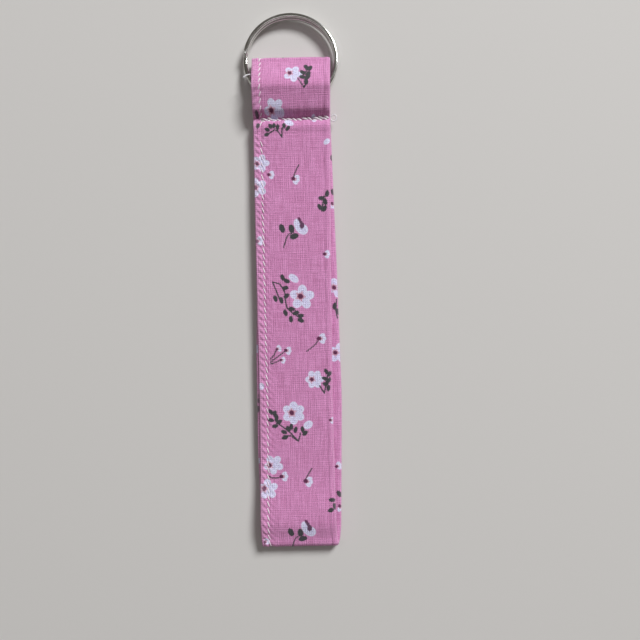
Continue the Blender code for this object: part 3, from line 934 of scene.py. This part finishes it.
def cotton_material():
    """Plain-weave cotton with slubs, and the print as inks that the weave breaks up."""
    m = Nodes("printed_cotton_cloth")
    uv = m.add("ShaderNodeUVMap", uv_map="weave").outputs["UV"]
    split = m.add("ShaderNodeSeparateXYZ")
    m.link(uv, split.inputs[0])
    turns = math.tau / THREAD_PITCH
    waver = m.math("MULTIPLY", m.noise(uv, 1.1), 5.0)
    warp = m.math("SINE", m.math("ADD", m.math("MULTIPLY", split.outputs["X"], turns), waver))
    weft = m.math("SINE", m.math("ADD", m.math("MULTIPLY", split.outputs["Y"], turns), waver))
    crossing = m.math("MULTIPLY_ADD", m.math("MULTIPLY", warp, weft), -0.16, 0.5)
    weave = m.math("MULTIPLY_ADD", m.math("ADD", warp, weft), 0.17, crossing)
    slub_along = m.noise(uv, 1.0, 2.0, stretch=(3.1, 0.16, 1.0))
    slub_across = m.noise(uv, 1.0, 2.0, stretch=(0.16, 3.1, 1.0))
    grain = m.noise(uv, 3.4, 4.0)
    slubs = m.math("ADD", m.math("MULTIPLY", slub_along, 0.6), m.math("MULTIPLY", slub_across, 0.4))
    base = m.mix(m.ramp(slubs, 0.36, 0.64), PINK_DARK, PINK_LIGHT)
    base = m.mix(0.55, base, PINK)
    ragged = m.math("MULTIPLY_ADD", m.math("SUBTRACT", grain, 0.5), 0.42, 0.0)
    thready = m.math("MULTIPLY_ADD", m.math("SUBTRACT", weave, 0.5), 0.10, ragged)
    bloom = m.add("ShaderNodeAttribute", attribute_name="bloom").outputs["Vector"]
    parts = m.add("ShaderNodeSeparateXYZ")
    m.link(bloom, parts.inputs[0])
    foliage = m.add("ShaderNodeAttribute", attribute_name="foliage").outputs["Fac"]

    def ink(distance_socket, soft=0.13):
        return m.ramp(m.math("ADD", distance_socket, thready), soft, -soft)

    petal_tone = m.mix(m.ramp(grain, 0.35, 0.65), PETAL_SHADE, PETAL)
    petal_tone = m.mix(m.ramp(parts.outputs["X"], -0.9, -0.1), petal_tone, PETAL)
    colour = m.mix(m.math("MULTIPLY", ink(parts.outputs["X"]), 0.90), base, petal_tone)
    colour = m.mix(m.math("MULTIPLY", ink(parts.outputs["Y"], 0.30), 0.80), colour, HALO)
    colour = m.mix(m.math("MULTIPLY", ink(foliage, 0.11), 0.95), colour, LEAF)
    colour = m.mix(m.math("MULTIPLY", ink(parts.outputs["Z"], 0.16), 0.93), colour, HEART)
    edge_wear_and_highlight = m.add("ShaderNodeAttribute", attribute_name="edge_wear_and_highlight").outputs["Fac"]
    # lighten the left hem band and the right fold: wear along the edges together with painted highlight where
    # light catches them
    colour = m.mix(m.math("MULTIPLY", edge_wear_and_highlight, 0.22), colour, (0.80, 0.52, 0.72))
    # painted shade between the threads of the weave and painted highlight on their tops, multiplied with the
    # random grain specks
    shade = m.ramp(weave, 0.0, 0.85, 0.79, 1.13, smooth=False)
    speck = m.ramp(grain, 0.25, 0.75, 0.72, 1.28, smooth=False)
    tone = m.add("ShaderNodeCombineColor")
    value = m.math("MULTIPLY", shade, speck)
    for socket in tone.inputs[:3]:
        m.link(value, socket)
    colour = m.mix(1.0, colour, tone.outputs[0], blend="MULTIPLY")
    m.link(colour, m.shader.inputs["Base Color"])
    m.link(m.ramp(weave, 0.0, 1.0, 0.95, 0.80), m.shader.inputs["Roughness"])
    fine = m.bump(weave, 0.60, 0.00010)
    coarse = m.bump(slubs, 0.55, 0.00045, fine)
    m.link(coarse, m.shader.inputs["Normal"])
    m.set(Sheen_Weight=0.25, Sheen_Roughness=0.55, Specular_IOR_Level=0.25)
    m.shader.inputs["Sheen Tint"].default_value = (0.95, 0.80, 0.92, 1.0)
    return m.material


def thread_material():
    """Pale spun polyester with fibres along it."""
    m = Nodes("sewing_thread_ply")
    place = m.add("ShaderNodeTexCoord").outputs["Object"]
    fibre = m.noise(place, 5200.0, 3.0)
    slow = m.noise(place, 420.0, 2.0)
    colour = m.mix(m.ramp(fibre, 0.35, 0.65), (0.74, 0.64, 0.71), (0.97, 0.93, 0.97))
    colour = m.mix(m.ramp(slow, 0.4, 0.7, 0.0, 0.35), colour, (0.62, 0.44, 0.56))
    m.link(colour, m.shader.inputs["Base Color"])
    m.link(m.ramp(fibre, 0.3, 0.7, 0.70, 0.48), m.shader.inputs["Roughness"])
    m.link(m.bump(fibre, 0.4, 0.00003), m.shader.inputs["Normal"])
    m.set(Sheen_Weight=0.3, Sheen_Roughness=0.4)
    return m.material


def clear_material():
    """White-clear thread that catches the light."""
    m = Nodes("clear_thread_strand")
    place = m.add("ShaderNodeTexCoord").outputs["Object"]
    fibre = m.noise(place, 3600.0, 3.0)
    colour = m.mix(m.ramp(fibre, 0.35, 0.65), (0.86, 0.86, 0.90), (0.97, 0.97, 0.98))
    m.link(colour, m.shader.inputs["Base Color"])
    m.link(m.ramp(fibre, 0.3, 0.7, 0.42, 0.24), m.shader.inputs["Roughness"])
    m.link(m.bump(fibre, 0.25, 0.00002), m.shader.inputs["Normal"])
    m.set(Transmission_Weight=0.12, IOR=1.45)
    return m.material


def interfacing_material():
    """Off-white bonded fibres, pressed flat."""
    m = Nodes("interfacing_felt")
    place = m.add("ShaderNodeTexCoord").outputs["Object"]
    fibre = m.noise(place, 1500.0, 6.0)
    colour = m.mix(m.ramp(fibre, 0.3, 0.7), (0.74, 0.72, 0.68), (0.90, 0.89, 0.86))
    m.link(colour, m.shader.inputs["Base Color"])
    m.link(m.bump(fibre, 0.6, 0.0001), m.shader.inputs["Normal"])
    m.set(Roughness=0.95, Sheen_Weight=0.2)
    return m.material


def steel_material():
    """Polished nickel plate with faint scratches along the wire and duller patches."""
    m = Nodes("nickel_plate")
    place = m.add("ShaderNodeTexCoord").outputs["Object"]
    patch = m.noise(place, 260.0, 4.0)
    scratch = m.noise(place, 2600.0, 2.0)
    colour = m.mix(m.ramp(patch, 0.35, 0.7), (0.70, 0.70, 0.66), (0.82, 0.82, 0.80))
    m.link(colour, m.shader.inputs["Base Color"])
    rough = m.math("ADD", m.ramp(patch, 0.3, 0.75, 0.13, 0.19), m.ramp(scratch, 0.45, 0.75, 0.0, 0.06))
    m.link(rough, m.shader.inputs["Roughness"])
    m.link(m.bump(scratch, 0.05, 0.00001), m.shader.inputs["Normal"])
    m.set(Metallic=1.0, Specular_IOR_Level=0.5)
    return m.material


cotton = cotton_material()
thread = thread_material()
clear = clear_material()
interfacing = interfacing_material()
steel = steel_material()

# ---------------------------------------------------------------- the pieces, cut and baked in place; the tail and ring set on their bodies

loop = loop_path()
tab = tab_path()
SPARE = hem_spare(loop)


def run_at(path, y, z_side):
    """The run where a path passes a height, on its front (1) or back (-1)."""
    rows = np.arange(len(path.y))
    middle = len(rows) // 2
    chosen = rows < middle if z_side > 0 else rows >= middle
    best = np.argmin(np.where(chosen, np.abs(path.y - y), 1e9))
    return float(path.run[best])


FOLD_RUN = float(loop.run[-1]) / 2
LOOP_CUTS = (
    # name, run from, run to, bodies, height where the bend starts, and where it ends
    ("front_upper", 0.0, run_at(loop, -68, 1), ("front_upper", "front_middle"), -37, -57),
    ("front_middle", run_at(loop, -68, 1), run_at(loop, -110, 1), ("front_middle", "front_lower"), -79, -99),
    ("front_lower", run_at(loop, -110, 1), FOLD_RUN, ("front_lower", "bottom_fold"), -127, -132.5),
    ("bottom_fold", FOLD_RUN, run_at(loop, -110, -1), ("bottom_fold", "back_lower"), -132.5, -127),
    ("back_lower", run_at(loop, -110, -1), run_at(loop, -68, -1), ("back_lower", "back_middle"), -99, -79),
    ("back_middle", run_at(loop, -68, -1), run_at(loop, -26, -1), ("back_middle", "back_upper"), -57, -37),
    ("back_upper", run_at(loop, -26, -1), float(loop.run[-1]), ("back_upper", "loop_head"), -11, -5),
)
PIVOT_ROOM = 1.6
TAB_TOP = 19.3


def loop_depth(run, _height):
    """Round the loop the print goes on along the run."""
    return run - HEAD_Y


def tab_depth(run, height):
    """On the front the print follows the height; behind the fold it goes on along the run."""
    top_run = float(tab.run[np.argmax(tab.y)])
    behind = -TAB_TOP - (run - top_run)
    return np.where(run < top_run, -height, behind)


def set_length(pieces, nodes, bodies, bend_from, bend_to):
    """Cloth, interfacing and two threads of one length, baked in place with their CAD parts hidden. Gives
    back the cloth.
    """
    suffixes = ("cotton", "interfacing", "needle_thread", "bobbin_thread")
    slots = ("printed_cotton", "interfacing", "sewing_thread", "sewing_thread")
    for piece, suffix, slot in zip(pieces, suffixes, slots):
        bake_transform(piece)
        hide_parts(*[f"{node}_{suffix}" for node in nodes])
    return pieces[0]


for name, start, end, bodies, bend_from, bend_to in LOOP_CUTS:
    clear_of_pivot = PIVOT_ROOM if name == "front_upper" else 0.0
    pieces = (
        sleeve(f"{name}_cloth", loop, start, end, loop_depth, tongue=name == "front_upper", spare=SPARE),
        core(f"{name}_core", loop, start + clear_of_pivot, end),
        topstitch(f"{name}_stitches_outer", loop, start + clear_of_pivot, end, 1),
        topstitch(f"{name}_stitches_inner", loop, start + clear_of_pivot, end, -1),
    )
    cloth = set_length(pieces, [name], bodies, bend_from, bend_to)

tab_end = float(tab.run[-1])
pieces = (
    sleeve("tab_cloth", tab, 0.0, tab_end, tab_depth, strength=0.8),
    core("tab_core", tab, PIVOT_ROOM, tab_end),
    topstitch("tab_stitches_outer", tab, PIVOT_ROOM, tab_end, 1),
    topstitch("tab_stitches_inner", tab, PIVOT_ROOM, tab_end, -1),
)
TAB_BEND = (-3.0, 0.6)
cloth = set_length(pieces, ["tab", "head_front", "head_back"], ("loop_head", "tab"), *TAB_BEND)

for piece, node, slot in (
    (seam_stitches("seam_stitches_front", 2.72, -1), "seam_needle_thread", "sewing_thread"),
    (seam_stitches("seam_stitches_back", 0.02, 1), "seam_bobbin_thread", "sewing_thread"),
    (thread_loop(), "seam_thread_loop", "clear_thread"),
):
    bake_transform(piece)
    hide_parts(node)

tail = thread_tail()
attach(tail, "tab")
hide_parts("loose_thread_tail")

ring = split_ring()
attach(ring, "ring")
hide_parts("split_ring")

# ---------------------------------------------------------------- floor, light and camera

FLOOR_SIZE = 3.0
FLOOR_DROP = 0.0002
CAMERA_PLACE = (0.00783, -0.01288, 0.205)
CAMERA_TURN = -1.05
FOCAL_LENGTH = 36.0
WORLD_COLOUR = (1.0, 0.89, 0.82, 1.0)
WORLD_STRENGTH = 0.095


def floor():
    mesh = bpy.data.meshes.new("floor")
    s = FLOOR_SIZE
    mesh.from_pydata([(-s, -s, 0), (s, -s, 0), (s, s, 0), (-s, s, 0)], [], [(0, 1, 2, 3)])
    obj = bpy.data.objects.new("floor", mesh)
    bpy.context.scene.collection.objects.link(obj)
    low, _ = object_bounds()
    obj.location = (0.0, 0.0, low[2] - FLOOR_DROP)
    m = Nodes("floor_paper")
    m.set(Base_Color=(0.66, 0.65, 0.63, 1.0), Roughness=0.9)
    mesh.materials.append(m.material)
    obj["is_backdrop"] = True


def area_light(name, place, target, size, watts, colour=(1.0, 1.0, 1.0)):
    light = bpy.data.lights.new(name, "AREA")
    light.shape = "DISK"
    light.size = size
    light.energy = watts
    light.color = colour
    obj = bpy.data.objects.new(name, light)
    bpy.context.scene.collection.objects.link(obj)
    obj.location = place
    obj.rotation_euler = (Vector(target) - Vector(place)).to_track_quat("-Z", "Y").to_euler()


def camera():
    data = bpy.data.cameras.new("camera")
    data.lens = FOCAL_LENGTH
    data.sensor_width = 36.0
    obj = bpy.data.objects.new("camera", data)
    bpy.context.scene.collection.objects.link(obj)
    obj.location = CAMERA_PLACE
    obj.rotation_euler = (0.0, 0.0, math.radians(CAMERA_TURN))
    data.clip_start = 0.01
    bpy.context.scene.camera = obj


floor()
area_light("key", (1.00, 1.40, 1.45), (0.0, 0.0, 0.0), 0.80, 51.0, (0.99, 0.99, 1.0))
area_light("overhead", (0.0, 0.10, 1.50), (0.0, 0.0, 0.0), 1.00, 1.6)
area_light("fill", (-1.10, 0.50, 1.50), (0.0, 0.0, 0.0), 1.20, 1.8)
camera()

world = bpy.data.worlds.new("studio")
world.use_nodes = True
world.node_tree.nodes["Background"].inputs["Color"].default_value = WORLD_COLOUR
world.node_tree.nodes["Background"].inputs["Strength"].default_value = WORLD_STRENGTH
bpy.context.scene.world = world
bpy.context.scene.view_settings.view_transform = "Standard"
